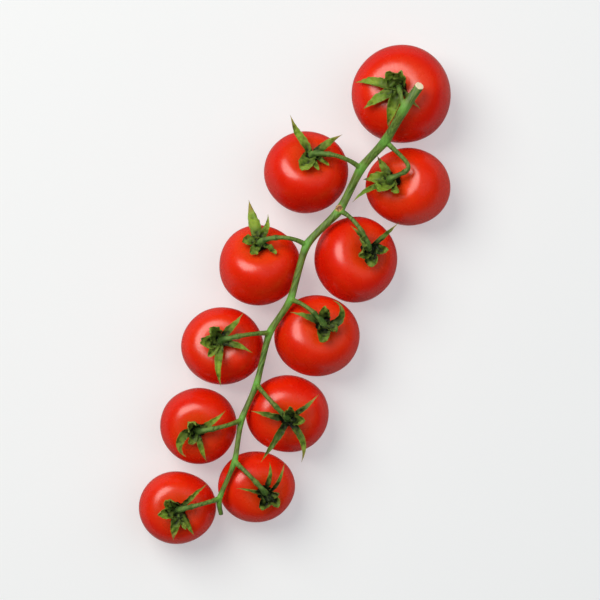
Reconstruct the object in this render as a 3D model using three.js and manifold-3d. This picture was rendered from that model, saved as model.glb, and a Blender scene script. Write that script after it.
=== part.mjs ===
// A truss of cherry tomatoes on the vine, lying on a table. Lengths are in millimetres and angles in
// degrees. +Z is up, and the main stem runs along Y from its tip to its cut end, which is towards +Y.
// The model stands on z = 0, with its origin under the middle of its box.

import * as THREE from 'three';
import { mergeVertices } from 'three/addons/utils/BufferGeometryUtils.js';
import Module from 'manifold-3d';

const wasm = await Module();
wasm.setup();

// Fruit
const HEIGHT_SHARE = 0.92;     // height along the fruit's own axis over its width
const SHOULDER = 2.5;          // squareness of the upper half's outline: 2 is an ellipse
const DIMPLE_DEPTH = 2.1;      // hollow in the skin under the calyx
const DIMPLE_SHARE = 0.45;     // spread of that hollow over the fruit's radius
const REST_FLAT = 0.28;        // how much of the skin is pressed flat where a fruit rests
const OVAL_BEARING = 25;       // the way in which most of the fruits are a little wider
const FRUIT_SEGMENTS = 22;
const FRUIT_ROWS = 13;

// Green parts
const GAP = 0.3;               // clearance between two touching pieces
const CUT_RADIUS = 1.55;       // main stem at its cut end
const TIP_RADIUS = 0.75;       // main stem at its tip
const CUT_SLANT = 0.7;         // how far the cut end leans back, over the height across it
const BEND_TENSION = 0.3;      // roundness of the main stem's bends: 0 is a sharp corner
const NODE_SWELL = 0.2;        // extra radius of the main stem where a stalk leaves it
const NODE_SPREAD = 3;
const STEM_SIDES = 10;
const STEM_STEPS = 60;
const STEPS_PER_BEND = 20;     // for measuring how far along the main stem each fork lies
const STALK_SIDES = 8;
const STALK_FOOT_RADIUS = 1;   // stalk where it leaves the main stem
const STALK_RADIUS = 0.75;
const STALK_END_RADIUS = 1.6;  // stalk where it enters the hub
const STALK_FOOT_SHARE = 0.25; // share of a stalk along which it narrows from its foot
const STALK_STOPS = [0.25, 0.5, 0.75, 0.92];  // places along an unbent stalk that its curve runs through
const LOWER_STALK_STEPS = 6;
const UPPER_STALK_STEPS = 5;
const STALK_ARCH = 1.5;        // how far a stalk bows away from the fruit that it passes over
const KNUCKLE_SHARE = 0.6;     // place of the knuckle along a stalk
const KNUCKLE_RADIUS = 1;
const KNUCKLE_SPREAD = 0.9;
const HUB_OUTLINE = [[0, 0], [1.5, 0], [2.5, 0.7], [1.7, 1.7], [0, 2.5]];
const HUB_CORE = 0.8;          // height inside the hub where the stalk ends and the sepals begin
const SEPAL_START = 0.7;       // how far from the hub's axis a sepal begins
const SEPAL_STEPS = 7;
const SEPAL_BEND = 0.6;        // below 1, a sepal bends over early along its length
const SEPAL_WIDTH = 2.6;
const SEPAL_TIP_HALF_WIDTH = 0.15;
const LOBE_LENGTH = 9;         // a shorter sepal is a blunt lobe
const SEPAL_HALF_THICKNESS = 0.42;
const SEPAL_TIP_SHARE = 0.45;  // thickness of the tip over that of the base
const SKIN_SAG = 0.18;         // room for the flats of the sepals, which cut across the round skin

const CUT_END = [0, 159.2, 35.4];
const TIP = [0, 0, 21.5];

// The eleven fruits in order from the cut end. fork is the point where the stalk leaves the main stem.
// middle is the fruit's centre seen from above and width its diameter. oval stretches it along
// OVAL_BEARING and narrows it as much the other way. Its calyx leans by tilt from upright towards the
// bearing lean. A bearing turns from +X towards +Y. knuckle is where a sharply bent stalk bends. cup is
// the slope at which the sepals leave the hub. Each sepal has a bearing, a length, the slope of its
// tip, the turn of its bearing along its length, and a width where it isn't the usual one.
const FRUITS = [
  { fork: [-1.5, 150, 35], middle: [-4.2, 155.4], width: 33.6, oval: 1.01, tilt: 7, lean: 159, cup: 32,
    sepals: [[197, 16, -45, 0, 3.8], [235, 14.5, -40, 0, 3.8], [281, 14.5, -42, 0, 5],
      [155, 8, 60, 0, 5.6], [105, 7.5, 80, 0, 5.6], [-21, 10, -30, 0, 2]] },
  { fork: [-2.6, 138, 29], middle: [11.4, 127.9], width: 27.6, oval: 1.045, tilt: 29, lean: 186, cup: 45,
    knuckle: [8.2, 133, 29],
    sepals: [[239, 15, 0, 0, 2.4], [144, 9.5, -5, 0, 3], [203, 9.5, -10, 0, 5.8],
      [275, 8.5, 60, 0, 6.4], [330, 6.5, 10, 0, 3.8]] },
  { fork: [-6.1, 126.3, 25], middle: [-22.6, 117.5], width: 28.2, oval: 1.018, tilt: 26, lean: 99, cup: 25,
    sepals: [[143, 14.5, 12, 0, 3.4], [58, 12, 8, 0, 2.8], [20, 12.5, -20, 0, 1.9],
      [266, 6.5, -15, 0, 6], [318, 6, -10, 0, 2.2], [350, 6.5, -20, 0, 2]] },
  { fork: [-6.9, 110.5, 23.2], middle: [5, 97.5], width: 28.7, oval: 0.98, tilt: 25, lean: 63, cup: 45,
    sepals: [[65, 13.5, -5, 0, 1.9], [157, 9.6, -20, 0, 2.2], [188, 6.5, 50, 0, 5.6],
      [240, 6.4, 20, 0, 5.4], [292, 6.2, -10, 0, 5.4], [10, 6.8, 45, 0, 5]] },
  { fork: [-12, 95.1, 23.4], middle: [-23.6, 81.9], width: 27.5, oval: 1.01, tilt: 36, lean: 114, cup: 20,
    sepals: [[128, 15.5, 18, 0, 4.2], [93, 10, 18, 15, 2.8], [345, 6.5, -20, 0, 2.6],
      [270, 4.8, -50, 0, 4], [195, 5, -10, 0, 5]] },
  { fork: [-9.2, 76.1, 23.2], middle: [4.1, 68.3], width: 28.3, oval: 1.03, tilt: 21, lean: 83, cup: 45,
    sepals: [[187, 12, -15, 0, 2.6], [122, 7.5, 65, 0, 5], [5, 13.5, 20, 195, 3.4],
      [285, 6.5, -15, 0, 5.4], [340, 5, 30, 0, 4]] },
  { fork: [-10.9, 62.8, 22.4], middle: [-23.7, 51.8], width: 27.3, oval: 1.033, tilt: 9, lean: 131, cup: 45,
    sepals: [[298, 16.5, -30, 0, 3.4], [77, 12, -20, 0, 2.9], [2, 11.5, -30, 0, 2.7],
      [158, 8.5, 75, 0, 6], [218, 8.5, 55, 0, 5.8], [262, 6.5, 0, 0, 3.6]] },
  { fork: [-7.7, 45.3, 22], middle: [6.2, 40.2], width: 27.2, oval: 1.04, tilt: 6, lean: -50, cup: 45,
    sepals: [[193, 12.5, -30, 0, 2.6], [263, 17.5, 0, 0, 2.8], [333, 16.5, -10, -50, 2.8],
      [67, 13, -25, 0, 2], [115, 8, 65, 0, 5.4], [30, 8, 65, 0, 5]] },
  { fork: [-7.2, 32, 22.2], middle: [-19.7, 23.8], width: 26, oval: 1, tilt: 7, lean: -73, cup: 45,
    sepals: [[62, 12, -25, 0, 2.6], [142, 8.5, 75, 0, 6], [197, 13.5, -15, 160, 3.5],
      [313, 11, -30, 0, 2.6], [258, 4.6, 20, 0, 3.8]] },
  { fork: [-3.4, 18.4, 23.6], middle: [6.7, 13], width: 25.2, oval: 1.038, tilt: 19, lean: 0, cup: 45,
    sepals: [[114, 11.5, -10, 0, 1.8], [62, 12.5, -15, 50, 1.6], [192, 10, -20, 0, 1.7],
      [275, 5.5, 0, 0, 4.4], [332, 6, 30, 0, 5], [20, 4.5, 60, 0, 3.6]] },
  { fork: [-2.8, 4.8, 23], middle: [-14.6, -4.8], width: 25.7, oval: 1.037, tilt: 3, lean: 31, cup: 45,
    sepals: [[67, 13, -30, 0, 2.4], [162, 8, 60, 0, 5.4], [218, 8, 45, 0, 5.6], [288, 11, -35, 0, 3.6],
      [338, 10.5, -35, -25, 2.5], [316, 7, 0, 0, 2.2]] },
];

const UP = new THREE.Vector3(0, 0, 1);
const skin = { color: 0xd2200a, roughness: 0.3, metalness: 0 };
const stemGreen = { color: 0x5f8a3c, roughness: 0.6, metalness: 0 };
const calyxGreen = { color: 0x4f7430, roughness: 0.7, metalness: 0 };

const radians = THREE.MathUtils.degToRad;
const blend = THREE.MathUtils.lerp;

// A horizontal unit vector at a bearing
function heading(bearing) {
  return new THREE.Vector3(Math.cos(radians(bearing)), Math.sin(radians(bearing)), 0);
}

// A closed solid from rings of points, each ring counter-clockwise about the way that the rings go
function loft(rings) {
  const sides = rings[0].length;
  const points = rings.flat();
  const faces = [];
  for (let row = 0; row + 1 < rings.length; row++) {
    for (let side = 0; side < sides; side++) {
      const here = row * sides + side;
      const next = row * sides + ((side + 1) % sides);
      faces.push(here, next, here + sides, next, next + sides, here + sides);
    }
  }
  const last = points.length - sides;
  for (let side = 1; side + 1 < sides; side++) {
    faces.push(0, side + 1, side);
    faces.push(last, last + side, last + side + 1);
  }
  const geometry = new THREE.BufferGeometry().setFromPoints(points);
  geometry.setIndex(faces);
  return geometry;
}

// A round tube along the stretch of a curve from share start to share end, with a radius for each
// share. Its first end is square to the curve, or leans back by slant over the height across it.
function tube(curve, start, end, steps, sides, radiusAt, slant = 0) {
  const frames = curve.computeFrenetFrames(steps, false);
  const rings = [];
  for (let step = 0; step <= steps; step++) {
    const share = blend(start, end, step / steps);
    const middle = curve.getPointAt(share);
    const along = curve.getTangentAt(share);
    const across = frames.normals[Math.round(share * steps)].clone();
    across.addScaledVector(along, -across.dot(along)).normalize();
    const other = along.clone().cross(across);
    const ring = [];
    for (let side = 0; side < sides; side++) {
      const angle = (2 * Math.PI * side) / sides;
      const point = middle.clone().addScaledVector(across, radiusAt(share) * Math.cos(angle));
      point.addScaledVector(other, radiusAt(share) * Math.sin(angle));
      if (step === 0) point.addScaledVector(along, slant * (point.z - middle.z));
      ring.push(point);
    }
    rings.push(ring);
  }
  return loft(rings);
}

// The solid of a closed geometry, with its shared corners merged and its empty triangles left out
function solidOf(geometry) {
  const bare = geometry.clone();
  bare.deleteAttribute('normal');
  bare.deleteAttribute('uv');
  const merged = mergeVertices(bare);
  const corners = merged.index.array;
  const kept = [];
  for (let i = 0; i < corners.length; i += 3) {
    const [a, b, c] = corners.subarray(i, i + 3);
    if (a !== b && b !== c && c !== a) kept.push(a, b, c);
  }
  const vertProperties = new Float32Array(merged.attributes.position.array);
  return new wasm.Manifold(new wasm.Mesh({ numProp: 3, vertProperties, triVerts: new Uint32Array(kept) }));
}

function geometryOf(solid) {
  const mesh = solid.getMesh();
  const geometry = new THREE.BufferGeometry();
  geometry.setAttribute('position', new THREE.BufferAttribute(mesh.vertProperties, 3));
  geometry.setIndex(new THREE.BufferAttribute(mesh.triVerts, 1));
  geometry.computeVertexNormals();
  return geometry;
}

function joined(geometries) {
  return geometryOf(geometries.map(solidOf).reduce((whole, piece) => whole.add(piece)));
}

function named(name, geometry, look) {
  const mesh = new THREE.Mesh(geometry, new THREE.MeshStandardMaterial(look));
  mesh.name = name;
  return mesh;
}

// Stretches a geometry that stands upright about the fruit's centre, as the fruit is stretched
function ovalled(geometry, fruit) {
  geometry.rotateZ(-radians(OVAL_BEARING));
  geometry.scale(fruit.oval, 1 / fruit.oval, 1);
  return geometry.rotateZ(radians(OVAL_BEARING));
}

// One fruit, turned so that its stem end leans as it should, and moved down onto the table by as much
// as its skin is pressed flat. Returns its geometry about its centre, and the height of that centre.
function makeFruit(fruit, upright) {
  const radius = fruit.width / 2;
  const halfHeight = radius * HEIGHT_SHARE;
  const outline = [];
  for (let row = 0; row <= FRUIT_ROWS; row++) {
    const angle = Math.PI * (row / FRUIT_ROWS - 0.5);
    const reach = row === 0 || row === FRUIT_ROWS ? 0 : radius * Math.cos(angle);
    const squareness = angle > 0 ? SHOULDER : 2;
    const level = Math.sign(angle) * (1 - (reach / radius) ** squareness) ** (1 / squareness);
    const hollow = angle > 0 ? DIMPLE_DEPTH * Math.exp(-((reach / (radius * DIMPLE_SHARE)) ** 2)) : 0;
    outline.push(new THREE.Vector2(reach, halfHeight * level - hollow));
  }
  const body = new THREE.LatheGeometry(outline, FRUIT_SEGMENTS);
  body.rotateX(Math.PI / 2);
  ovalled(body, fruit).applyQuaternion(upright);
  body.computeBoundingBox();
  const centreHeight = -body.boundingBox.min.z - REST_FLAT;
  const below = new THREE.BoxGeometry(fruit.width, fruit.width, fruit.width);
  below.translate(0, 0, -centreHeight - fruit.width / 2);
  return { geometry: geometryOf(solidOf(body).subtract(solidOf(below))), centreHeight };
}

// The stalk's middle line, from the main stem over the shoulder of the fruit and down into the hub
function stalkCurve(fruit, centre, axis, hubHeight) {
  const fork = new THREE.Vector3(...fruit.fork);
  const outward = fork.clone().sub(centre);
  const turn = new THREE.Quaternion().setFromUnitVectors(outward.clone().normalize(), axis);
  const topHeight = hubHeight + HUB_OUTLINE.at(-1)[1];
  const points = [fork];
  if (fruit.knuckle) {
    points.push(new THREE.Vector3(...fruit.knuckle));
    points.push(centre.clone().addScaledVector(axis, topHeight + STALK_ARCH));
  } else {
    for (const share of STALK_STOPS) {
      const part = new THREE.Quaternion().slerp(turn, share);
      const height = blend(outward.length(), topHeight, share) + STALK_ARCH * Math.sin(Math.PI * share);
      points.push(outward.clone().normalize().applyQuaternion(part).multiplyScalar(height).add(centre));
    }
  }
  points.push(centre.clone().addScaledVector(axis, hubHeight + HUB_CORE));
  return new THREE.CatmullRomCurve3(points, false, 'centripetal');
}

function stalkRadius(share, length) {
  const fromKnuckle = (share - KNUCKLE_SHARE) * length;
  const knuckle = (KNUCKLE_RADIUS - STALK_RADIUS) * Math.exp(-((fromKnuckle / KNUCKLE_SPREAD) ** 2));
  const foot = (STALK_FOOT_RADIUS - STALK_RADIUS) * Math.max(0, 1 - share / STALK_FOOT_SHARE);
  const pastKnuckle = Math.max(0, (share - KNUCKLE_SHARE) / (1 - KNUCKLE_SHARE));
  const end = (STALK_END_RADIUS - STALK_RADIUS) * pastKnuckle ** 2;
  return STALK_RADIUS + knuckle + foot + end;
}

// Half the width of a sepal over its full width, for each share of its length. A blade tapers to a fine
// tip, and a blunt lobe stays broad and ends round.
function bladeWidth(share, blunt) {
  if (blunt) return 0.5 * (0.75 + 0.6 * share) * (1 - share ** 3) ** 0.6;
  return 0.6 * (0.75 + 1.1 * share) * (1 - share) ** 0.8;
}

// One sepal about the fruit's centre, with the fruit upright: a pointed blade with a diamond section
function makeSepal(sepal, fruit, hubHeight) {
  const [bearing, length, tipSlope, turn, width = SEPAL_WIDTH] = sepal;
  const radius = fruit.width / 2;
  const clear = SEPAL_HALF_THICKNESS + GAP + SKIN_SAG;
  const spot = heading(bearing).multiplyScalar(SEPAL_START).setZ(hubHeight + HUB_CORE);
  const rings = [];
  for (let step = 0; step <= SEPAL_STEPS; step++) {
    const share = step / SEPAL_STEPS;
    const slope = radians(blend(fruit.cup, tipSlope, share ** SEPAL_BEND));
    const flat = heading(bearing + turn * share);
    const along = flat.clone().multiplyScalar(Math.cos(slope)).setZ(Math.sin(slope));
    const across = UP.clone().cross(flat);
    const over = along.clone().cross(across);
    const halfWidth = Math.max(SEPAL_TIP_HALF_WIDTH, width * bladeWidth(share, length < LOBE_LENGTH));
    const halfThickness = SEPAL_HALF_THICKNESS * blend(1, SEPAL_TIP_SHARE, share);
    rings.push([
      spot.clone().addScaledVector(across, halfWidth),
      spot.clone().addScaledVector(over, halfThickness),
      spot.clone().addScaledVector(across, -halfWidth),
      spot.clone().addScaledVector(over, -halfThickness),
    ]);
    spot.addScaledVector(along, length / SEPAL_STEPS);
    const outOf = Math.hypot(spot.x, spot.y) ** SHOULDER + (spot.z / HEIGHT_SHARE) ** SHOULDER;
    const depth = outOf ** (1 / SHOULDER);
    if (depth < radius + clear) spot.multiplyScalar((radius + clear) / depth);
  }
  return loft(rings);
}

// The upper half of a stalk, the hub and the sepals, about the fruit's centre
function makeCalyx(fruit, centre, upright, hubHeight, stalk) {
  const hub = new THREE.LatheGeometry(HUB_OUTLINE.map(([x, y]) => new THREE.Vector2(x, y)), STALK_SIDES);
  hub.rotateX(Math.PI / 2);
  hub.translate(0, 0, hubHeight);
  ovalled(hub, fruit).applyQuaternion(upright);
  const length = stalk.getLength();
  const upperStalk = tube(stalk, KNUCKLE_SHARE + GAP / length, 1, UPPER_STALK_STEPS, STALK_SIDES,
    (share) => stalkRadius(share, length));
  upperStalk.translate(-centre.x, -centre.y, -centre.z);
  const sepals = fruit.sepals.map((sepal) =>
    ovalled(makeSepal(sepal, fruit, hubHeight), fruit).applyQuaternion(upright));
  return joined([hub, upperStalk, ...sepals]);
}

function makeMainStem(stalks) {
  const route = [CUT_END, ...FRUITS.map((fruit) => fruit.fork), TIP];
  const middleLine = new THREE.CatmullRomCurve3(
    route.map((point) => new THREE.Vector3(...point)), false, 'catmullrom', BEND_TENSION);
  const lengths = middleLine.getLengths(STEPS_PER_BEND * (route.length - 1));
  const forkLengths = FRUITS.map((fruit, index) => lengths[STEPS_PER_BEND * (index + 1)]);
  const radiusAt = (share) => {
    const swells = forkLengths.map((length) =>
      Math.exp(-(((share * lengths.at(-1) - length) / NODE_SPREAD) ** 2)));
    return blend(CUT_RADIUS, TIP_RADIUS, share) + NODE_SWELL * Math.max(...swells);
  };
  const stem = tube(middleLine, 0, 1, STEM_STEPS, STEM_SIDES, radiusAt, CUT_SLANT);
  const lowerStalks = stalks.map((stalk) => tube(stalk, 0, KNUCKLE_SHARE, LOWER_STALK_STEPS, STALK_SIDES,
    (share) => stalkRadius(share, stalk.getLength())));
  return joined([stem, ...lowerStalks]);
}

const truss = new THREE.Group();
const stalks = [];
FRUITS.forEach((fruit, index) => {
  const number = String(index + 1).padStart(2, '0');
  const axis = heading(fruit.lean).multiplyScalar(Math.sin(radians(fruit.tilt)));
  axis.z = Math.cos(radians(fruit.tilt));
  const upright = new THREE.Quaternion().setFromUnitVectors(UP, axis);
  const { geometry, centreHeight } = makeFruit(fruit, upright);
  const centre = new THREE.Vector3(...fruit.middle, centreHeight);
  const hubHeight = (fruit.width / 2) * HEIGHT_SHARE - DIMPLE_DEPTH + 2 * GAP;
  const stalk = stalkCurve(fruit, centre, axis, hubHeight);
  stalks.push(stalk);
  const place = new THREE.Group();
  place.position.copy(centre);
  place.add(named(`tomato_${number}`, geometry, skin));
  place.add(named(`calyx_${number}`, makeCalyx(fruit, centre, upright, hubHeight, stalk), calyxGreen));
  truss.add(place);
});
truss.add(named('main_stem', makeMainStem(stalks), stemGreen));

// The middle of the model's box goes over the origin
const box = new THREE.Box3().setFromObject(truss);
truss.position.set(-(box.min.x + box.max.x) / 2, -(box.min.y + box.max.y) / 2, 0);

const part = new THREE.Group();
part.add(truss);

export default part;
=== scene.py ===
"""A truss of cherry tomatoes on the vine, lying on a pale table and seen from above.

The shapes are worked out in millimetres, in the truss's own frame: the tip of the main stem is near
x = y = 0 and its cut end is towards +Y. make_piece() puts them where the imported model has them.
"""

import math
import random

import bmesh
import bpy
import numpy as np
from mathutils import Matrix, Quaternion, Vector, kdtree, noise


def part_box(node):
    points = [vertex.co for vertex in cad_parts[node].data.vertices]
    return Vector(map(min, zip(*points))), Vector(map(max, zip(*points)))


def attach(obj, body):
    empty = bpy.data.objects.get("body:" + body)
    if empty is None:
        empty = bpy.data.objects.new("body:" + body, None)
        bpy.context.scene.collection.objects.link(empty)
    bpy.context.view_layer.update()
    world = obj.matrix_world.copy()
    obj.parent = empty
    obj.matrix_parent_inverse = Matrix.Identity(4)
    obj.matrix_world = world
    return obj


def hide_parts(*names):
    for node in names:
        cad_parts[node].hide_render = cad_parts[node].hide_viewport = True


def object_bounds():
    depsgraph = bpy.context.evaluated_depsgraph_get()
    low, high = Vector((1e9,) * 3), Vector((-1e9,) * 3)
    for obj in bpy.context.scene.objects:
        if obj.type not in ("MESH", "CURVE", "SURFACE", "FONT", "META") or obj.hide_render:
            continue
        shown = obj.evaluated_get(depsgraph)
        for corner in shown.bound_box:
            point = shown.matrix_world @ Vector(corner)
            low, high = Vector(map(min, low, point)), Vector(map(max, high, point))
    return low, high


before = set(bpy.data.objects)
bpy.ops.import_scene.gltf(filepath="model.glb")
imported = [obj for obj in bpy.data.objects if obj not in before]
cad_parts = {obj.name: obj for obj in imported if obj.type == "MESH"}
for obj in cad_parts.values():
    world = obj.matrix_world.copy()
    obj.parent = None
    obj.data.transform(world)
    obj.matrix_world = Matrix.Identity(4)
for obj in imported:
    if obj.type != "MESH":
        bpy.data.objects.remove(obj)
cad_low, cad_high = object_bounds()

MM = 0.001
UP = Vector((0, 0, 1))

# Fruit, in millimetres
HEIGHT_SHARE = 0.92    # height over width
SHOULDER = 2.5         # how square the upper half is: 2 would be an ellipse
DIMPLE_DEPTH = 2.1
DIMPLE_SHARE = 0.45    # the dimple's reach over the fruit's radius
REST_FLAT = 0.28       # how far the skin is pressed in where it lies
OVAL_BEARING = 25
UNEVENNESS = 0.02      # slow swells of the skin, as a share of the radius
LOBES = 3              # faint lobes round the fruit, and how far they stand out
LOBE_RISE = 0.006
PALEST = 0.35          # how far the palest fruit may go towards the paler red
FRUIT_SEGMENTS = 112
FRUIT_ROWS = 84

# Green parts, in millimetres
GAP = 0.3              # half of the clearance between a hub and the bottom of the fruit's dimple
CUT_RADIUS = 1.55
TIP_RADIUS = 0.75
CUT_SLANT = 0.7
BEND_TENSION = 0.3
NODE_SWELL = 0.2
NODE_SPREAD = 3
STALK_FOOT_RADIUS = 1.0
STALK_FOOT_SHARE = 0.25
STALK_STOPS = (0.25, 0.5, 0.75, 0.92)  # shares of the way where a stalk's route has a point
STALK_RADIUS = 0.75
STALK_END_RADIUS = 1.6
STALK_ARCH = 1.5
KNUCKLE_SHARE = 0.6
KNUCKLE_RADIUS = 1.0
KNUCKLE_SPREAD = 0.9
HUB_HEIGHT = 2.5
HUB_CORE = 0.8         # height in the hub where its stalk ends and its sepals start
HUB_OUTLINE = [(0.3, 0), (1.5, 0.05), (2.2, 0.35), (2.5, 0.75), (2.2, 1.15), (1.75, 1.6), (1.4, 2.1),
               (1.1, 2.45), (0.4, 2.7)]
HUB_LOBING = 0.09
TUBE_RIBS = 5
TUBE_RIB_RISE = 0.04
TUBE_RIB_TWIST = 9     # length over which the ribs turn by one radian
SEPAL_START = 0.7
SEPAL_CLEAR = 0.8
SEPAL_BEND = 0.6
SEPAL_BASE_THICKNESS = 0.5
SEPAL_TIP_THICKNESS = 0.18
SEPAL_LEAST_HALF = 0.07
SEPAL_WAVE = 13        # degrees that a sepal's slope waves by at its tip
MIDRIB_DEPTH = 0.14
MIDRIB_SPREAD = 0.22   # share of the half width
SEPAL_STEPS = 36
SEPAL_SIDES = 22
BLUNT_LENGTH = 9       # a shorter sepal is a blunt lobe
CROWN_SHADE_REACH = 8        # how far the painted shade round the hub reaches, and over what length it fades
CROWN_SHADE_FADE = 3.5
STEM_VOXEL = 0.2
CURVE_STEPS = 240      # even steps along a stalk or the main stem
SPAN_STEPS = 24        # steps between two of the points that a curve goes through

CUT_END = (0, 159.2, 35.4)
TIP = (0, 0, 21.5)
SCARRED_FORK = 3       # the fork, counted from 0 at the cut end, where a bract has broken off
SCAR_PLACE = (-0.4, 0.5, 1.2)
SCAR_KNOBS = 4
SCAR_KNOB_TURN = 95
SCAR_KNOB_RADIUS = 0.6

# Where the main stem's finish shows its marks, in millimetres, and over what length they fade
FORK_MARK_REACH = 3.4
FORK_MARK_FADE = 2
FORK_MARK_STRENGTH = 0.7
SCAR_MARK_REACH = 1.5
SCAR_MARK_FADE = 0.5
CUT_MARK_REACH = 2.2   # in radii of the cut end
CUT_MARK_DEPTH = 0.2
GRAIN_SCALE = (2, 0.22, 2)  # drawn out along Y, as the stem runs

# The eleven fruits in order from the cut end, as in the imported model. fork is the point where the
# stalk leaves the main stem. middle is the fruit's centre seen from above and width its diameter. oval
# stretches it along OVAL_BEARING and narrows it as much the other way. Its calyx leans by tilt degrees
# from upright towards the bearing lean. A bearing turns from +X towards +Y. knuckle is where a sharply
# bent stalk bends. cup is the slope at which the sepals leave the hub. fresh is how young and bright
# they are, from 0 to 1. Each sepal has a bearing, a length, the slope of its tip, the turn of its
# bearing along its length, and a width.
FRUITS = [
    dict(fork=(-1.5, 150, 35), middle=(-4.2, 155.4), width=33.6, oval=1.01, tilt=7, lean=159, cup=32,
         fresh=0.75, sepals=[
             (197, 16, -45, 0, 3.8), (235, 14.5, -40, 0, 3.8), (281, 14.5, -42, 0, 5),
             (155, 8, 60, 0, 5.6), (105, 7.5, 80, 0, 5.6), (-21, 10, -30, 0, 2)]),
    dict(fork=(-2.6, 138, 29), middle=(11.4, 127.9), width=27.6, oval=1.045, tilt=29, lean=186, cup=45,
         knuckle=(8.2, 133, 29), fresh=0.7, sepals=[
             (239, 15, 0, 0, 2.4), (144, 9.5, -5, 0, 3), (203, 9.5, -10, 0, 5.8),
             (275, 8.5, 60, 0, 6.4), (330, 6.5, 10, 0, 3.8)]),
    dict(fork=(-6.1, 126.3, 25), middle=(-22.6, 117.5), width=28.2, oval=1.018, tilt=26, lean=99, cup=25,
         fresh=0.7, sepals=[
             (143, 14.5, 12, 0, 3.4), (58, 12, 8, 0, 2.8), (20, 12.5, -20, 0, 1.9),
             (266, 6.5, -15, 0, 6), (318, 6, -10, 0, 2.2), (350, 6.5, -20, 0, 2)]),
    dict(fork=(-6.9, 110.5, 23.2), middle=(5, 97.5), width=28.7, oval=0.98, tilt=25, lean=63, cup=45,
         fresh=0.0, sepals=[
             (65, 13.5, -5, 0, 1.9), (157, 9.6, -20, 0, 2.2), (188, 6.5, 50, 0, 5.6),
             (240, 6.4, 20, 0, 5.4), (292, 6.2, -10, 0, 5.4), (10, 6.8, 45, 0, 5)]),
    dict(fork=(-12, 95.1, 23.4), middle=(-23.6, 81.9), width=27.5, oval=1.01, tilt=36, lean=114, cup=20,
         fresh=0.75, sepals=[
             (128, 15.5, 18, 0, 4.2), (93, 10, 18, 15, 2.8), (345, 6.5, -20, 0, 2.6),
             (270, 4.8, -50, 0, 4), (195, 5, -10, 0, 5)]),
    dict(fork=(-9.2, 76.1, 23.2), middle=(4.1, 68.3), width=28.3, oval=1.03, tilt=21, lean=83, cup=45,
         fresh=0.05, sepals=[
             (187, 12, -15, 0, 2.6), (122, 7.5, 65, 0, 5), (5, 13.5, 20, 195, 3.4),
             (285, 6.5, -15, 0, 5.4), (340, 5, 30, 0, 4)]),
    dict(fork=(-10.9, 62.8, 22.4), middle=(-23.7, 51.8), width=27.3, oval=1.033, tilt=9, lean=131, cup=45,
         fresh=0.5, sepals=[
             (298, 16.5, -30, 0, 3.4), (77, 12, -20, 0, 2.9), (2, 11.5, -30, 0, 2.7),
             (158, 8.5, 75, 0, 6), (218, 8.5, 55, 0, 5.8), (262, 6.5, 0, 0, 3.6)]),
    dict(fork=(-7.7, 45.3, 22), middle=(6.2, 40.2), width=27.2, oval=1.04, tilt=6, lean=-50, cup=45,
         fresh=0.0, sepals=[
             (193, 12.5, -30, 0, 2.6), (263, 17.5, 0, 0, 2.8),
             (333, 16.5, -10, -50, 2.8), (67, 13, -25, 0, 2), (115, 8, 65, 0, 5.4),
             (30, 8, 65, 0, 5)]),
    dict(fork=(-7.2, 32, 22.2), middle=(-19.7, 23.8), width=26, oval=1, tilt=7, lean=-73, cup=45,
         fresh=0.55, sepals=[
             (62, 12, -25, 0, 2.6), (142, 8.5, 75, 0, 6), (197, 13.5, -15, 160, 3.5),
             (313, 11, -30, 0, 2.6), (258, 4.6, 20, 0, 3.8)]),
    dict(fork=(-3.4, 18.4, 23.6), middle=(6.7, 13), width=25.2, oval=1.038, tilt=19, lean=0, cup=45,
         fresh=0.05, sepals=[
             (114, 11.5, -10, 0, 1.8), (62, 12.5, -15, 50, 1.6),
             (192, 10, -20, 0, 1.7), (275, 5.5, 0, 0, 4.4), (332, 6, 30, 0, 5),
             (20, 4.5, 60, 0, 3.6)]),
    dict(fork=(-2.8, 4.8, 23), middle=(-14.6, -4.8), width=25.7, oval=1.037, tilt=3, lean=31, cup=45,
         fresh=0.35, sepals=[
             (67, 13, -30, 0, 2.4), (162, 8, 60, 0, 5.4), (218, 8, 45, 0, 5.6),
             (288, 11, -35, 0, 3.6), (338, 10.5, -35, -25, 2.5), (316, 7, 0, 0, 2.2)]),
]


# ---------------------------------------------------------------- shared geometry

def heading(bearing):
    """A level unit vector at a bearing, which turns from +X towards +Y."""
    angle = math.radians(bearing)
    return Vector((math.cos(angle), math.sin(angle), 0))


def blend(start, end, share):
    return start + (end - start) * share


def clamp(value, low=0.0, high=1.0):
    return min(high, max(low, value))


def fruit_axis(fruit):
    tilt = math.radians(fruit["tilt"])
    axis = heading(fruit["lean"]) * math.sin(tilt)
    axis.z = math.cos(tilt)
    return axis


def placing(fruit, centre):
    """The matrix that stretches what stands upright about a fruit's centre, leans it and places it."""
    aside = Matrix.Rotation(math.radians(OVAL_BEARING), 3, "Z")
    stretch = Matrix.Diagonal((fruit["oval"], 1 / fruit["oval"], 1))
    lean = UP.rotation_difference(fruit_axis(fruit)).to_matrix()
    return Matrix.Translation(centre) @ (lean @ aside @ stretch @ aside.transposed()).to_4x4()


def even_curve(dense, count):
    """Evenly spaced points and unit tangents along a dense row of points, and its length."""
    dense = np.array(dense)
    lengths = np.concatenate([[0], np.cumsum(np.linalg.norm(np.diff(dense, axis=0), axis=1))])
    wanted = np.linspace(0, lengths[-1], count)
    spots = np.column_stack([np.interp(wanted, lengths, dense[:, axis]) for axis in range(3)])
    tangents = np.gradient(spots, axis=0)
    tangents /= np.linalg.norm(tangents, axis=1)[:, None]
    return [Vector(spot) for spot in spots], [Vector(tangent) for tangent in tangents], lengths[-1]


def spans(points):
    """Each stretch between two of a curve's points, with the point before it and the one after it.
    The first and the last point get a neighbour straight on."""
    knots = [Vector(point) for point in points]
    knots = [2 * knots[0] - knots[1], *knots, 2 * knots[-1] - knots[-2]]
    return zip(knots, knots[1:], knots[2:], knots[3:])


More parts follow.
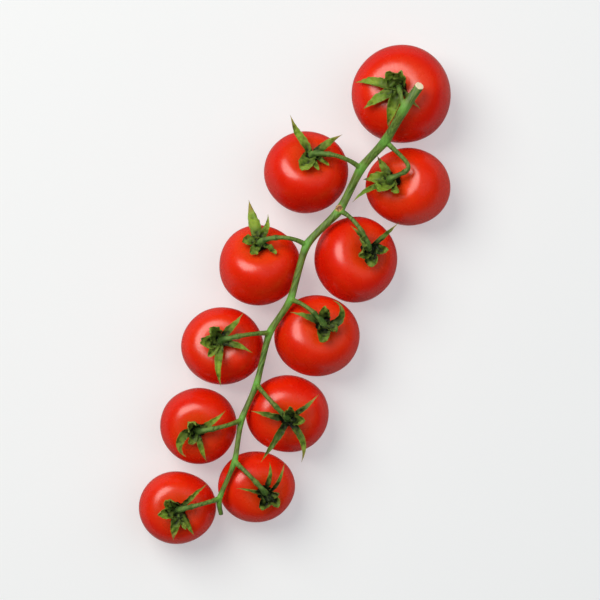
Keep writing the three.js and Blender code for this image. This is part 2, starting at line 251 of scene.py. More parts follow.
def stalk_line(points):
    """The centripetal Catmull-Rom curve through points, as a dense row of points."""
    dense = []
    for a, b, c, d in spans(points):
        t0 = 0
        t1 = t0 + (b - a).length ** 0.5
        t2 = t1 + (c - b).length ** 0.5
        t3 = t2 + (d - c).length ** 0.5
        for step in range(SPAN_STEPS):
            t = blend(t1, t2, step / SPAN_STEPS)
            ab = a * ((t1 - t) / (t1 - t0)) + b * ((t - t0) / (t1 - t0))
            bc = b * ((t2 - t) / (t2 - t1)) + c * ((t - t1) / (t2 - t1))
            cd = c * ((t3 - t) / (t3 - t2)) + d * ((t - t2) / (t3 - t2))
            abc = ab * ((t2 - t) / (t2 - t0)) + bc * ((t - t0) / (t2 - t0))
            bcd = bc * ((t3 - t) / (t3 - t1)) + cd * ((t - t1) / (t3 - t1))
            dense.append(abc * ((t2 - t) / (t2 - t1)) + bcd * ((t - t1) / (t2 - t1)))
    dense.append(Vector(points[-1]))
    return dense


def stem_line(points):
    """The curve through points with bends as round as BEND_TENSION says, as a dense row of points."""
    dense = []
    for a, b, c, d in spans(points):
        leaving = (c - a) * BEND_TENSION
        arriving = (d - b) * BEND_TENSION
        for step in range(SPAN_STEPS):
            t = step / SPAN_STEPS
            dense.append(b * (2 * t ** 3 - 3 * t ** 2 + 1) + leaving * (t ** 3 - 2 * t ** 2 + t)
                         + c * (3 * t ** 2 - 2 * t ** 3) + arriving * (t ** 3 - t ** 2))
    dense.append(Vector(points[-1]))
    return dense


def carried_frames(tangents):
    """For each tangent, two unit vectors across it that turn as little as they can along the way."""
    across = tangents[0].orthogonal().normalized()
    frames = []
    for tangent in tangents:
        across = (across - tangent * across.dot(tangent)).normalized()
        frames.append((across, tangent.cross(across)))
    return frames


def loft(rings):
    """Corners and faces of a closed solid through rings of points, each counter-clockwise."""
    sides = len(rings[0])
    points = [point for ring in rings for point in ring]
    faces = []
    for row in range(len(rings) - 1):
        for side in range(sides):
            here = row * sides + side
            after = row * sides + (side + 1) % sides
            faces.append((here, after, after + sides, here + sides))
    faces.append(tuple(reversed(range(sides))))
    faces.append(tuple(range(len(points) - sides, len(points))))
    return points, faces


def mesh_object(name, points, faces):
    mesh = bpy.data.meshes.new(name)
    mesh.from_pydata([tuple(point) for point in points], [], faces)
    mesh.validate()
    piece = bpy.data.objects.new(name, mesh)
    bpy.context.scene.collection.objects.link(piece)
    return piece


def apply_modifiers(piece):
    graph = bpy.context.evaluated_depsgraph_get()
    shaped = bpy.data.meshes.new_from_object(piece.evaluated_get(graph))
    old = piece.data
    piece.modifiers.clear()
    piece.data = shaped
    bpy.data.meshes.remove(old)


def drop_slivers(piece):
    """Removes the islands of no thickness that a union may leave: two faces back to back, joined to
    no other."""
    shape = bmesh.new()
    shape.from_mesh(piece.data)
    slivers = []
    for face in shape.faces:
        joined = {other for edge in face.edges for other in edge.link_faces}
        if len(joined) == 2:
            slivers.append(face)
    bmesh.ops.delete(shape, geom=slivers, context="FACES")
    shape.to_mesh(piece.data)
    shape.free()


def united(name, solids):
    """One closed mesh object from several overlapping closed solids, each given as points and faces."""
    whole = mesh_object(name, *solids[0])
    for index, solid in enumerate(solids[1:]):
        other = mesh_object(f"{name}_part{index}", *solid)
        union = whole.modifiers.new("union", "BOOLEAN")
        union.operation = "UNION"
        union.solver = "MANIFOLD"
        union.object = other
        apply_modifiers(whole)
        bpy.data.objects.remove(other)
    drop_slivers(whole)
    return whole


def truss_offset():
    """Where the truss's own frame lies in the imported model, in millimetres."""
    shifts = []
    for number, fruit in enumerate(FRUITS, 1):
        low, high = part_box(f"tomato_{number:02d}")
        middle = (low + high) / 2 / MM
        shifts.append((middle.x - fruit["middle"][0], middle.y - fruit["middle"][1]))
    return Vector((*np.mean(shifts, axis=0), 0))


OFFSET = truss_offset()


def make_piece(piece, node, material):
    """Puts a piece shaped in the truss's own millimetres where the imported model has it, in metres."""
    piece.data.transform(Matrix.Scale(MM, 4) @ Matrix.Translation(OFFSET))
    piece.data.materials.clear()
    piece.data.materials.append(material)
    piece.data.polygons.foreach_set("use_smooth", [True] * len(piece.data.polygons))
    piece.data.update()
    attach(piece, "root")
    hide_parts(node)
    return piece


def set_attribute(piece, name, values):
    attribute = piece.data.attributes.new(name, "FLOAT", "POINT")
    attribute.data.foreach_set("value", np.asarray(values, np.float32))


def corners_of(piece):
    corners = np.empty(len(piece.data.vertices) * 3)
    piece.data.vertices.foreach_get("co", corners)
    return corners.reshape(-1, 3)


# ---------------------------------------------------------------- materials

class Nodes:
    """A material's node tree, with short calls for the nodes that the finishes below use."""

    def __init__(self, name):
        self.material = bpy.data.materials.new(name)
        self.material.use_nodes = True
        self.tree = self.material.node_tree
        self.shader = self.tree.nodes["Principled BSDF"]

    def put(self, value, socket):
        if isinstance(value, bpy.types.NodeSocket):
            self.tree.links.new(value, socket)
        else:
            socket.default_value = value

    def place(self):
        return self.tree.nodes.new("ShaderNodeTexCoord").outputs["Object"]

    def attribute(self, name, output="Fac"):
        node = self.tree.nodes.new("ShaderNodeAttribute")
        node.attribute_name = name
        return node.outputs[output]

    def noise(self, scale, detail=3, vector=None):
        node = self.tree.nodes.new("ShaderNodeTexNoise")
        node.inputs["Scale"].default_value = scale
        node.inputs["Detail"].default_value = detail
        self.put(vector or self.place(), node.inputs["Vector"])
        return node.outputs["Fac"]

    def cells(self, scale):
        node = self.tree.nodes.new("ShaderNodeTexVoronoi")
        node.inputs["Scale"].default_value = scale
        self.put(self.place(), node.inputs["Vector"])
        return node.outputs["Distance"]

    def spread(self, value, low, high, to_low=0.0, to_high=1.0):
        node = self.tree.nodes.new("ShaderNodeMapRange")
        node.interpolation_type = "SMOOTHSTEP"
        self.put(value, node.inputs["Value"])
        node.inputs["From Min"].default_value = low
        node.inputs["From Max"].default_value = high
        node.inputs["To Min"].default_value = to_low
        node.inputs["To Max"].default_value = to_high
        return node.outputs["Result"]

    def math(self, operation, a, b=0.0):
        node = self.tree.nodes.new("ShaderNodeMath")
        node.operation = operation
        self.put(a, node.inputs[0])
        self.put(b, node.inputs[1])
        return node.outputs["Value"]

    def reflected(self):
        """1 where the surface is seen in another one's gloss, and 0 elsewhere."""
        return self.tree.nodes.new("ShaderNodeLightPath").outputs["Is Glossy Ray"]

    def mix(self, share, a, b):
        """Two colours, mixed. The node's colour sockets are the ones numbered 6, 7 and 2."""
        node = self.tree.nodes.new("ShaderNodeMix")
        node.data_type = "RGBA"
        self.put(share, node.inputs["Factor"])
        self.put(a, node.inputs[6])
        self.put(b, node.inputs[7])
        return node.outputs[2]

    def bump(self, height, strength, distance, normal=None):
        node = self.tree.nodes.new("ShaderNodeBump")
        node.inputs["Strength"].default_value = strength
        node.inputs["Distance"].default_value = distance
        self.put(height, node.inputs["Height"])
        if normal is not None:
            self.put(normal, node.inputs["Normal"])
        return node.outputs["Normal"]

    def finish(self, **inputs):
        for name, value in inputs.items():
            self.put(value, self.shader.inputs[name.replace("_", " ")])
        return self.material


def srgb(red, green, blue):
    """A linear colour from the 0 to 255 figures of a picture."""
    def linear(value):
        share = value / 255
        return share / 12.92 if share <= 0.04045 else ((share + 0.055) / 1.055) ** 2.4
    return (linear(red), linear(green), linear(blue), 1)


def tomato_skin():
    """Taut ripe skin: deep red, a little more orange round the stem end, with faint pale specks and a
    small brown scar at the blossom end."""
    nodes = Nodes("tomato_skin")
    from_stem = nodes.attribute("from_stem")
    clouds = nodes.noise(70, 2)
    colour = nodes.mix(nodes.spread(clouds, 0.35, 0.65), srgb(219, 20, 2), srgb(231, 34, 2))
    colour = nodes.mix(nodes.attribute("paler"), colour, srgb(238, 58, 6))
    near_stem = nodes.spread(from_stem, 0.1, 0.3, 0.4, 0.0)
    colour = nodes.mix(near_stem, colour, srgb(240, 84, 20))
    specks = nodes.spread(nodes.cells(800), 0.06, 0.17, 0.16, 0.0)
    colour = nodes.mix(specks, colour, srgb(240, 90, 34))
    blossom_scar = nodes.spread(from_stem, 0.965, 0.985)
    colour = nodes.mix(blossom_scar, colour, srgb(112, 70, 34))
    return nodes.finish(
        Base_Color=colour,
        Roughness=nodes.spread(nodes.noise(260, 3), 0.3, 0.7, 0.24, 0.3),
        Normal=nodes.bump(nodes.noise(2400, 2), 0.05, 0.0001),
        Subsurface_Weight=0.1,
        Subsurface_Scale=0.003,
        Subsurface_Radius=(1.0, 0.1, 0.05),
        Specular_IOR_Level=0.55,
        Sheen_Weight=0.2,
        Sheen_Roughness=0.2,
    )


def calyx_green():
    """Matt leafy green, brighter towards the tips: paler underneath and along the midrib, with painted
    light on the crests, a painted highlight along the edges, painted shade in the hollows and round the
    hub, dried at the tips, with a greyer stalk."""
    nodes = Nodes("calyx_green")
    patches = nodes.noise(300, 3)
    across = nodes.attribute("across")
    along = nodes.attribute("along")
    leafy = nodes.attribute("leafy")
    ridge = nodes.attribute("ridge")
    aged = nodes.mix(nodes.spread(patches, 0.3, 0.7), srgb(48, 70, 22), srgb(84, 108, 38))
    young = nodes.mix(nodes.spread(patches, 0.3, 0.7), srgb(112, 146, 42), srgb(144, 170, 58))
    freshness = nodes.math("ADD", nodes.attribute("fresh"), nodes.spread(along, 0.2, 0.9, -0.1, 0.5))
    colour = nodes.mix(freshness, aged, young)
    # Painted shade in the hollows of the crinkles and painted light on their crests
    painted_hollow_shade = nodes.spread(ridge, 0.0, 0.4, 0.5, 0.0)
    colour = nodes.mix(painted_hollow_shade, colour, srgb(20, 34, 10))
    painted_crest_light = nodes.spread(ridge, 0.6, 1.0, 0.0, 0.3)
    colour = nodes.mix(painted_crest_light, colour, srgb(124, 154, 62))
    underside = nodes.math("MULTIPLY", nodes.attribute("under"), 0.4)
    colour = nodes.mix(underside, colour, srgb(124, 152, 76))
    rib = nodes.math("MULTIPLY", nodes.spread(across, 0.04, 0.16, 0.4, 0.0), leafy)
    colour = nodes.mix(rib, colour, srgb(140, 166, 84))
    # A painted highlight along the blades' rolled edges
    painted_rim_highlight = nodes.math("MULTIPLY", nodes.spread(across, 0.72, 0.97, 0.0, 0.35), leafy)
    colour = nodes.mix(painted_rim_highlight, colour, srgb(142, 166, 72))
    dried = nodes.math("MULTIPLY", nodes.spread(along, 0.5, 1.0), nodes.attribute("dryness"))
    dried = nodes.math("MULTIPLY", dried, nodes.spread(patches, 0.25, 0.6, 0.7, 1.3))
    colour = nodes.mix(nodes.spread(dried, 0.1, 0.7), colour, srgb(150, 140, 68))
    bark = nodes.mix(nodes.spread(patches, 0.35, 0.65), srgb(66, 98, 40), srgb(108, 142, 66))
    stalk = nodes.math("SUBTRACT", 1.0, leafy)
    colour = nodes.mix(stalk, colour, bark)
    # Painted shade round the hub: near-black where the calyx's parts close in
    colour = nodes.mix(nodes.attribute("painted_crown_shade"), colour, srgb(10, 20, 7))
    veins = nodes.noise(1500, 3)
    return nodes.finish(
        Base_Color=colour,
        Roughness=nodes.spread(patches, 0.3, 0.7, 0.42, 0.6),
        Normal=nodes.bump(veins, 0.35, 0.0003),
        Specular_IOR_Level=0.2,
        Subsurface_Weight=0.06,
        Subsurface_Scale=0.001,
    )


def stem_green():
    """Fresh stem: streaked green, brighter at the forks, a tan scar and a cream cut end."""
    nodes = Nodes("stem_green")
    grain = nodes.attribute("grain", "Vector")
    streaks = nodes.noise(1.0, 3, vector=grain)
    colour = nodes.mix(nodes.spread(streaks, 0.34, 0.66), srgb(62, 92, 30), srgb(112, 146, 62))
    yellowing = nodes.spread(nodes.noise(90, 2), 0.4, 0.65, 0.0, 0.4)
    colour = nodes.mix(yellowing, colour, srgb(112, 124, 44))
    colour = nodes.mix(nodes.attribute("fork"), colour, srgb(110, 182, 68))
    flecks = nodes.spread(nodes.cells(650), 0.05, 0.2, 0.3, 0.0)
    colour = nodes.mix(flecks, colour, srgb(48, 70, 26))
    dry_patches = nodes.spread(nodes.noise(900, 2), 0.4, 0.6)
    dry = nodes.mix(dry_patches, srgb(126, 84, 48), srgb(222, 176, 106))
    colour = nodes.mix(nodes.attribute("scar"), colour, dry)
    colour = nodes.mix(nodes.attribute("cut"), colour, srgb(250, 232, 196))
    return nodes.finish(
        Base_Color=colour,
        Roughness=nodes.spread(streaks, 0.3, 0.7, 0.42, 0.58),
        Normal=nodes.bump(nodes.noise(2.2, 2, vector=grain), 0.35, 0.0003),
        Specular_IOR_Level=0.4,
        Subsurface_Weight=0.05,
        Subsurface_Scale=0.001,
    )


FLOOR_IN_GLOSS = (0.2, 0.2, 0.2, 1)
FLOOR_GLOW = 0.36
FLOOR_GLOW_COLOUR = (0.975, 1, 1.03, 1)


def floor_white():
    """A matt white table that glows a little. It is darker, with no glow, in the fruits' gloss."""
    nodes = Nodes("floor_white")
    patches = nodes.spread(nodes.noise(3, 2), 0.3, 0.7)
    tone = nodes.mix(patches, (0.53, 0.55, 0.55, 1), (0.54, 0.56, 0.56, 1))
    reflected = nodes.reflected()
    return nodes.finish(
        Base_Color=nodes.mix(reflected, tone, FLOOR_IN_GLOSS),
        Roughness=0.9,
        Specular_IOR_Level=0.1,
        Emission_Color=FLOOR_GLOW_COLOUR,
        Emission_Strength=nodes.spread(reflected, 0, 1, FLOOR_GLOW, 0),
    )


SKIN = tomato_skin()
CALYX = calyx_green()
STEM = stem_green()


# ---------------------------------------------------------------- fruit

def skin_row(fruit, angle):
    """Reach and height of a point of the fruit's outline at an angle above its waist."""
    radius = fruit["width"] / 2
    reach = radius * math.cos(angle)
    squareness = SHOULDER if angle > 0 else 2
    level = math.copysign((1 - (reach / radius) ** squareness) ** (1 / squareness), angle)
    painted_hollow_shade = DIMPLE_DEPTH * math.exp(-((reach / (radius * DIMPLE_SHARE)) ** 2)) if angle > 0 else 0
    return reach, radius * HEIGHT_SHARE * level - painted_hollow_shade


def make_fruit(fruit, number):
    """Returns the fruit's centre. Its skin goes row by row from its blossom end to its stem end."""
    shift = Vector((number * 7.3, number * 3.1, number * 5.7))
    points = []
    from_stem = []
    for row in range(FRUIT_ROWS + 1):
        angle = math.pi * (row / FRUIT_ROWS - 0.5)
        reach, height = skin_row(fruit, angle)
        pole = row in (0, FRUIT_ROWS)
        for side in range(1 if pole else FRUIT_SEGMENTS):
            turn = 2 * math.pi * side / FRUIT_SEGMENTS
            ahead = math.cos(turn)
            aside = math.sin(turn)
            way = Vector((ahead * math.cos(angle), aside * math.cos(angle), math.sin(angle)))
            swell = 1 + UNEVENNESS * noise.noise(way * 1.1 + shift)
            swell += LOBE_RISE * math.cos(LOBES * turn + number) * way.xy.length
            points.append(Vector((reach * ahead, reach * aside, height)) * swell)
            from_stem.append(1 - row / FRUIT_ROWS)
    faces = []
    last = len(points) - 1 - FRUIT_SEGMENTS
    for side in range(FRUIT_SEGMENTS):
        after = (side + 1) % FRUIT_SEGMENTS
        faces.append((0, 1 + after, 1 + side))
        faces.append((len(points) - 1, last + side, last + after))
        for start in range(1, last, FRUIT_SEGMENTS):
            faces.append((start + side, start + after, start + after + FRUIT_SEGMENTS,
                          start + side + FRUIT_SEGMENTS))
    place = placing(fruit, Vector((0, 0, 0)))
    points = [place @ point for point in points]
    centre = Vector((*fruit["middle"], -min(point.z for point in points) - REST_FLAT))
    points = [point + centre for point in points]
    for point in points:
        point.z = max(point.z, 0)
    piece = mesh_object(f"fruit_{number:02d}", points, faces)
    set_attribute(piece, "from_stem", from_stem)
    paler = random.Random(number).uniform(0, PALEST)
    set_attribute(piece, "paler", [paler] * len(points))
    make_piece(piece, f"tomato_{number:02d}", SKIN)
    return centre


# ---------------------------------------------------------------- stalks, calyxes and main stem

def hub_height(fruit):
    return fruit["width"] / 2 * HEIGHT_SHARE - DIMPLE_DEPTH + 2 * GAP


def stalk_points(fruit, centre):
    """The stalk's route: from the main stem over the fruit's shoulder and down into the hub."""
    axis = fruit_axis(fruit)
    outward = Vector(fruit["fork"]) - centre
    top_height = hub_height(fruit) + HUB_HEIGHT
    points = [Vector(fruit["fork"])]
    if "knuckle" in fruit:
        points.append(Vector(fruit["knuckle"]))
        points.append(centre + axis * (top_height + STALK_ARCH))
    else:
        turn = outward.rotation_difference(axis)
        for share in STALK_STOPS:
            height = blend(outward.length, top_height, share) + STALK_ARCH * math.sin(math.pi * share)
            way = Quaternion().slerp(turn, share) @ outward.normalized()
            points.append(centre + way * height)
    points.append(centre + axis * (hub_height(fruit) + HUB_CORE))
    return points


def stalk_radius(share, length):
    from_knuckle = (share - KNUCKLE_SHARE) * length
    knuckle = (KNUCKLE_RADIUS - STALK_RADIUS) * math.exp(-((from_knuckle / KNUCKLE_SPREAD) ** 2))
    past_knuckle = max(0, (share - KNUCKLE_SHARE) / (1 - KNUCKLE_SHARE))
    foot = (STALK_FOOT_RADIUS - STALK_RADIUS) * max(0, 1 - share / STALK_FOOT_SHARE)
    end = (STALK_END_RADIUS - STALK_RADIUS) * past_knuckle ** 2
    return STALK_RADIUS + knuckle + foot + end


def tube(line, start, end, count, sides, radius_at, slant=0.0):
    """A faintly ribbed tube along the stretch of a dense line from share start to share end. Its
    first end is square to the line, or leans back by slant over the height across it."""
    spots, tangents, length = even_curve(line, CURVE_STEPS)
    first = round(start * (CURVE_STEPS - 1))
    last = round(end * (CURVE_STEPS - 1))
    picked = np.unique(np.linspace(first, last, count).round().astype(int))
    frames = carried_frames(tangents)
    rings = []
    for index in picked:
        share = index / (CURVE_STEPS - 1)
        radius = radius_at(share, length)
        across, other = frames[index]
        ring = []
        for angle in np.linspace(0, 2 * math.pi, sides, endpoint=False):
            rib = TUBE_RIB_RISE * math.cos(TUBE_RIBS * angle + share * length / TUBE_RIB_TWIST)
            reach = radius * (1 + rib)
            offset = across * (reach * math.cos(angle)) + other * (reach * math.sin(angle))
            if index == first:
                offset += tangents[index] * (slant * offset.z)
            ring.append(spots[index] + offset)
        rings.append(ring)
    return loft(rings)


def blade_width(share, blunt):
    """Half the width of a sepal over its full width, along its length. It tapers to a long fine tip,
    or it stays broad and ends round when it is blunt."""
    if blunt:
        return 0.5 * (0.75 + 0.6 * share) * (1 - share ** 3) ** 0.6
    return 0.5 * (0.7 + 1.5 * share) * (1 - share) ** 1.15 * (1 + 0.35 * math.sin(math.pi * share))


def ragged_edge(seed, along, v):
    """How far a blade's edge stands out, as a share of its half width, a way along it in millimetres.
    Its two edges, where v is above or below 0, differ."""
    return 1 + 0.16 * noise.noise(seed + Vector((along * 0.9, math.copysign(9, v), 0)))


def crinkles(seed, along, beside):
    """The height of a blade's broad and fine crinkles, at a place on it in millimetres."""
    broad = 0.7 * noise.noise(seed + Vector((along * 0.55, beside * 0.8, 0)))
    fine = 0.35 * noise.noise(seed + Vector((along * 1.4, beside * 1.5, 7)))
    return broad + fine


def lifted_off(spot, radius):
    """A spot on a sepal, moved out where needed so that it clears the fruit, which is upright about
    the origin."""
    out_of = spot.xy.length ** SHOULDER + (spot.z / HEIGHT_SHARE) ** SHOULDER
    reach = out_of ** (1 / SHOULDER)
    if reach < radius + SEPAL_CLEAR:
        return spot * ((radius + SEPAL_CLEAR) / reach)
    return spot


def sepal(blade, fruit, rng):
    """One curled, crinkled blade with rolled edges, with the fruit upright about its centre. Returns
    its solid, and for each corner its share of the length, its share of the half width, whether it is
    on the lower face, and how high it is on the crinkles."""
    bearing, length, tip_slope, turn, width = blade
    blunt = length < BLUNT_LENGTH
    spot = heading(bearing) * SEPAL_START
    spot.z = hub_height(fruit) + HUB_CORE
    curl = rng.uniform(0.8, 1.3) if blunt else rng.choice((1, 1, -0.5)) * rng.uniform(0.6, 1.3)
    crumple = 1.5 if blunt else 1
    roll = rng.uniform(-0.6, 0.6)
    wander = rng.uniform(-9, 9)
    wave = rng.uniform(0, 2 * math.pi)
    seed = Vector((rng.uniform(0, 50), rng.uniform(0, 50), 0))
    rings = []
    marks = []
    for step in range(SEPAL_STEPS + 1):
        share = step / SEPAL_STEPS
        slope = blend(fruit["cup"], tip_slope, share ** SEPAL_BEND)
        slope += SEPAL_WAVE * share * math.sin(7 * share + wave)
        flat = heading(bearing + turn * share + wander * math.sin(5 * share))
        along = flat * math.cos(math.radians(slope)) + UP * math.sin(math.radians(slope))
        across = UP.cross(flat)
        over = along.cross(across)
        twist = roll * share
        side_way = across * math.cos(twist) + over * math.sin(twist)
        top_way = over * math.cos(twist) - across * math.sin(twist)
        half = max(SEPAL_LEAST_HALF, width * blade_width(share, blunt))
        opening = curl * blend(0.8, 1.2, share)
        thickness = blend(SEPAL_BASE_THICKNESS, SEPAL_TIP_THICKNESS, share)
        ring = []
        for angle in np.linspace(0, 2 * math.pi, SEPAL_SIDES, endpoint=False):
            v = math.cos(angle)
            ragged = ragged_edge(seed, share * length, v)
            aside = half * ragged * math.sin(opening * v) / opening
            rolled = half * ragged * (1 - math.cos(opening * v)) / opening
            crinkle = crinkles(seed, share * length, half * v)
            groove = -MIDRIB_DEPTH * math.exp(-((v / MIDRIB_SPREAD) ** 2))
            lift = rolled + min(1, half) * (crumple * crinkle + groove)
            ring.append(spot + side_way * aside + top_way * (lift + thickness * 0.5 * math.sin(angle)))
            marks.append((share, abs(v), float(math.sin(angle) < 0), clamp(0.5 + 1.3 * crinkle)))
        rings.append(ring)
        spot = lifted_off(spot + along * (length / SEPAL_STEPS), fruit["width"] / 2)
    return loft(rings), marks


def hub_solid(fruit):
    """The star-shaped disc that the sepals grow from, and the neck above it."""
    lobes = len(fruit["sepals"])
    rings = []
    for reach, height in HUB_OUTLINE:
        ring = []
        for angle in np.linspace(0, 2 * math.pi, 60, endpoint=False):
            way = heading(math.degrees(angle)) * (reach * (1 + HUB_LOBING * math.cos(lobes * angle)))
            ring.append(way + UP * (hub_height(fruit) + height))
        rings.append(ring)
    return loft(rings)


# What a calyx's finish reads at each corner, and what its hub and its stalk have there
MARKS = ("along", "across", "under", "ridge", "leafy", "fresh", "dryness")
# A ridge of 0.5 gives the hub and the stalk no painted shade in hollows and no painted light on crests,
# and the hub less painted shade round it
HUB_MARKS = (0, 0, 0, 0.5, 1, 0, 0)
STALK_MARKS = (0, 0, 0, 0.5, 0, 0, 0)


def carried_marks(piece, solids, marks):
    """The marks of each corner of a piece made by joining solids, under their names. Joining loses
    them, so each corner takes those of the nearest corner of the solids."""
    corners = [point for points, _ in solids for point in points]
    tree = kdtree.KDTree(len(corners))
    for index, point in enumerate(corners):
        tree.insert(point, index)
    tree.balance()
    nearest = np.array([marks[tree.find(vertex.co)[1]] for vertex in piece.data.vertices])
    return dict(zip(MARKS, nearest.T))


def make_calyx(fruit, number, centre):
    """Joins a hub, the stalk above the knuckle and the sepals into one piece."""
    rng = random.Random(number)
    place = placing(fruit, centre)
    line = stalk_line(stalk_points(fruit, centre))
    hub, hub_faces = hub_solid(fruit)
    stalk, stalk_faces = tube(line, KNUCKLE_SHARE, 1, 40, 30, stalk_radius)
    solids = [([place @ point for point in hub], hub_faces), (stalk, stalk_faces)]
    marks = [HUB_MARKS] * len(hub) + [STALK_MARKS] * len(stalk)
    for blade in fruit["sepals"]:
        (points, faces), shares = sepal(blade, fruit, rng)
        solids.append(([place @ point for point in points], faces))
        fresh = clamp(fruit["fresh"] + rng.uniform(-0.15, 0.25))
        dryness = rng.uniform(0.3, 1) if blade[1] > BLUNT_LENGTH else 0.15
        marks += [(*share, 1, fresh, dryness) for share in shares]
    piece = united(f"leafy_calyx_{number:02d}", solids)
    mark = carried_marks(piece, solids, marks)
    for name, values in mark.items():
        set_attribute(piece, name, values)
    hub_centre = centre + fruit_axis(fruit) * (hub_height(fruit) + 0.5)
    away = np.linalg.norm(corners_of(piece) - np.array(hub_centre), axis=1)
    # How deep the painted shade round the hub is: none on the stalk, less on the lower faces and on
    # crests, deeper on older calyxes
    shaded = mark["leafy"] * (1 - 0.4 * mark["under"]) * (1 - 0.7 * mark["ridge"])
    shaded = shaded * (1.3 - 0.6 * mark["fresh"])
    set_attribute(piece, "painted_crown_shade", np.clip((CROWN_SHADE_REACH - away) / CROWN_SHADE_FADE * shaded, 0, 1))
    make_piece(piece, f"calyx_{number:02d}", CALYX)


def lump(middle, radius, seed):
    """A small rough knob."""
    rings = []
    for level in np.linspace(-0.98, 0.98, 12):
        reach = radius * math.sqrt(1 - level ** 2)
        ring = []
        for angle in np.linspace(0, 2 * math.pi, 16, endpoint=False):
            way = heading(math.degrees(angle)) * reach + UP * (radius * level)
            ring.append(middle + way * (1 + 0.5 * noise.noise(way * 1.5 + Vector((seed, 0, 0)))))
        rings.append(ring)
    return loft(rings)


def scar_knobs(scar):
    """The rough knobs round the spot where a bract has broken off."""
    knobs = []
    for number in range(SCAR_KNOBS):
        middle = scar + heading(SCAR_KNOB_TURN * number) * SCAR_KNOB_RADIUS
        knobs.append(lump(middle, SCAR_KNOB_RADIUS, number * 3))
    return knobs


def stem_solid(line, forks):
    """The main stem, which tapers to its tip and swells at its forks."""
    spots, _, _ = even_curve(line, CURVE_STEPS)
    fork_shares = []
    for fork in forks:
        nearest = min(range(CURVE_STEPS), key=lambda index: (spots[index] - fork).length)
        fork_shares.append(nearest / (CURVE_STEPS - 1))

    def stem_radius(share, length):
        from_forks = [(share - fork_share) * length for fork_share in fork_shares]
        swells = [math.exp(-((away / NODE_SPREAD) ** 2)) for away in from_forks]
        return blend(CUT_RADIUS, TIP_RADIUS, share) + NODE_SWELL * max(swells)

    return tube(line, 0, 1, CURVE_STEPS, 40, stem_radius, CUT_SLANT)


def melted(name, solids):
    """One mesh object with soft forks, a skin over several overlapping closed solids."""
    points = []
    faces = []
    for solid_points, solid_faces in solids:
        faces += [tuple(index + len(points) for index in face) for face in solid_faces]
        points += solid_points
    piece = mesh_object(name, points, faces)
    remesh = piece.modifiers.new("remesh", "REMESH")
    remesh.mode = "VOXEL"
    remesh.voxel_size = STEM_VOXEL
    relax = piece.modifiers.new("relax", "SMOOTH")
    relax.factor = 0.5
    relax.iterations = 4
    apply_modifiers(piece)
    return piece


def mark_stem(piece, forks, scar, cut_way):
    """Tells the stem's finish how the grain runs, and where the forks, the scar and the cut are.
    cut_way is the way that the stem sets out from its cut end."""
    corners = corners_of(piece)
    grain = piece.data.attributes.new("grain", "FLOAT_VECTOR", "POINT")
    grain.data.foreach_set("vector", (corners * GRAIN_SCALE).astype(np.float32).ravel())
    from_forks = np.min([np.linalg.norm(corners - np.array(fork), axis=1) for fork in forks], axis=0)
    at_fork = np.clip((FORK_MARK_REACH - from_forks) / FORK_MARK_FADE, 0, 1)
    set_attribute(piece, "fork", at_fork * FORK_MARK_STRENGTH)
    from_scar = np.linalg.norm(corners - np.array(scar), axis=1)
    set_attribute(piece, "scar", np.clip((SCAR_MARK_REACH - from_scar) / SCAR_MARK_FADE, 0, 1))
    from_cut = corners - np.array(CUT_END)
    depth = from_cut @ np.array(cut_way) - CUT_SLANT * from_cut[:, 2]
    near = np.linalg.norm(from_cut, axis=1) < CUT_MARK_REACH * CUT_RADIUS
    set_attribute(piece, "cut", (near & (depth < CUT_MARK_DEPTH)).astype(float))


def make_main_stem(centres):
    """Melts the main stem, the stalks below their knuckles and the scar into one piece."""
    forks = [Vector(fruit["fork"]) for fruit in FRUITS]
    scar = forks[SCARRED_FORK] + Vector(SCAR_PLACE)
    line = stem_line([CUT_END, *forks, TIP])
    solids = [stem_solid(line, forks)]
    for fruit, centre in zip(FRUITS, centres):
        stalk = stalk_line(stalk_points(fruit, centre))
        solids.append(tube(stalk, 0, KNUCKLE_SHARE, 60, 30, stalk_radius))
    piece = melted("green_stem", solids + scar_knobs(scar))
    _, tangents, _ = even_curve(line, CURVE_STEPS)
    mark_stem(piece, forks, scar, tangents[0])
    make_piece(piece, "main_stem", STEM)


# ---------------------------------------------------------------- stage

ROLL = 24.8            # the truss leans this far from the picture's upright
VIEW_HEIGHT = 0.204    # height of the picture at the truss's middle, in metres
LENS = 180
SENSOR = 36
FLOOR_REACH = 3        # from the truss to the table's edge, in metres
SKY_COLOUR = (1, 1.02, 1.05, 1)
SKY_STRENGTH = 0.12
KEY_COLOUR = (1, 0.94, 0.88)
FILL_COLOUR = (0.98, 1, 1.03)


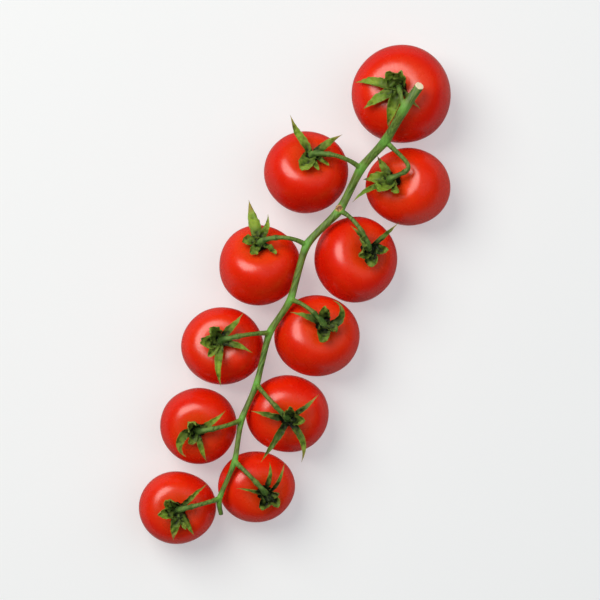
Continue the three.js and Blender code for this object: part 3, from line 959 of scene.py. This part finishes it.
def make_camera():
    """Looks straight down on the middle of the truss."""
    camera = bpy.data.objects.new("camera", bpy.data.cameras.new("camera"))
    bpy.context.scene.collection.objects.link(camera)
    camera.data.lens = LENS
    camera.data.sensor_width = SENSOR
    distance = VIEW_HEIGHT / 2 / (SENSOR / 2 / LENS)
    middle = (cad_low + cad_high) / 2
    camera.location = (middle.x, middle.y, middle.z + distance)
    camera.rotation_euler = (0, 0, math.radians(ROLL))
    camera.data.clip_end = 10
    bpy.context.scene.camera = camera


def make_lamp(name, bearing, elevation, distance, size, energy, colour):
    """A round soft light that faces the table below the truss's middle, from a bearing in the
    picture."""
    light = bpy.data.lights.new(name, "AREA")
    light.shape = "DISK"
    light.size = size
    light.energy = energy
    light.color = colour
    lamp = bpy.data.objects.new(name, light)
    bpy.context.scene.collection.objects.link(lamp)
    level = math.cos(math.radians(elevation))
    way = heading(bearing + ROLL) * level + UP * math.sin(math.radians(elevation))
    lamp.location = way * distance
    lamp.rotation_mode = "QUATERNION"
    lamp.rotation_quaternion = way.to_track_quat("Z", "Y")
    return lamp


def make_stage():
    reach = FLOOR_REACH
    corners = [(-reach, -reach, 0), (reach, -reach, 0), (reach, reach, 0), (-reach, reach, 0)]
    floor = mesh_object("floor", corners, [(0, 1, 2, 3)])
    floor.data.materials.append(floor_white())
    world = bpy.data.worlds.new("studio")
    world.use_nodes = True
    sky = world.node_tree.nodes["Background"]
    sky.inputs["Color"].default_value = SKY_COLOUR
    sky.inputs["Strength"].default_value = SKY_STRENGTH
    bpy.context.scene.world = world
    world.cycles_visibility.glossy = False
    make_lamp("key", bearing=135, elevation=55, distance=1.2, size=0.88, energy=12.6, colour=KEY_COLOUR)
    fill = make_lamp("fill", bearing=20, elevation=60, distance=1.6, size=1.8, energy=8.5,
                     colour=FILL_COLOUR)
    fill.visible_glossy = False
    bpy.context.scene.view_settings.view_transform = "Standard"


make_camera()
make_stage()
centres = [make_fruit(fruit, number) for number, fruit in enumerate(FRUITS, 1)]
for number, (fruit, centre) in enumerate(zip(FRUITS, centres), 1):
    make_calyx(fruit, number, centre)
make_main_stem(centres)
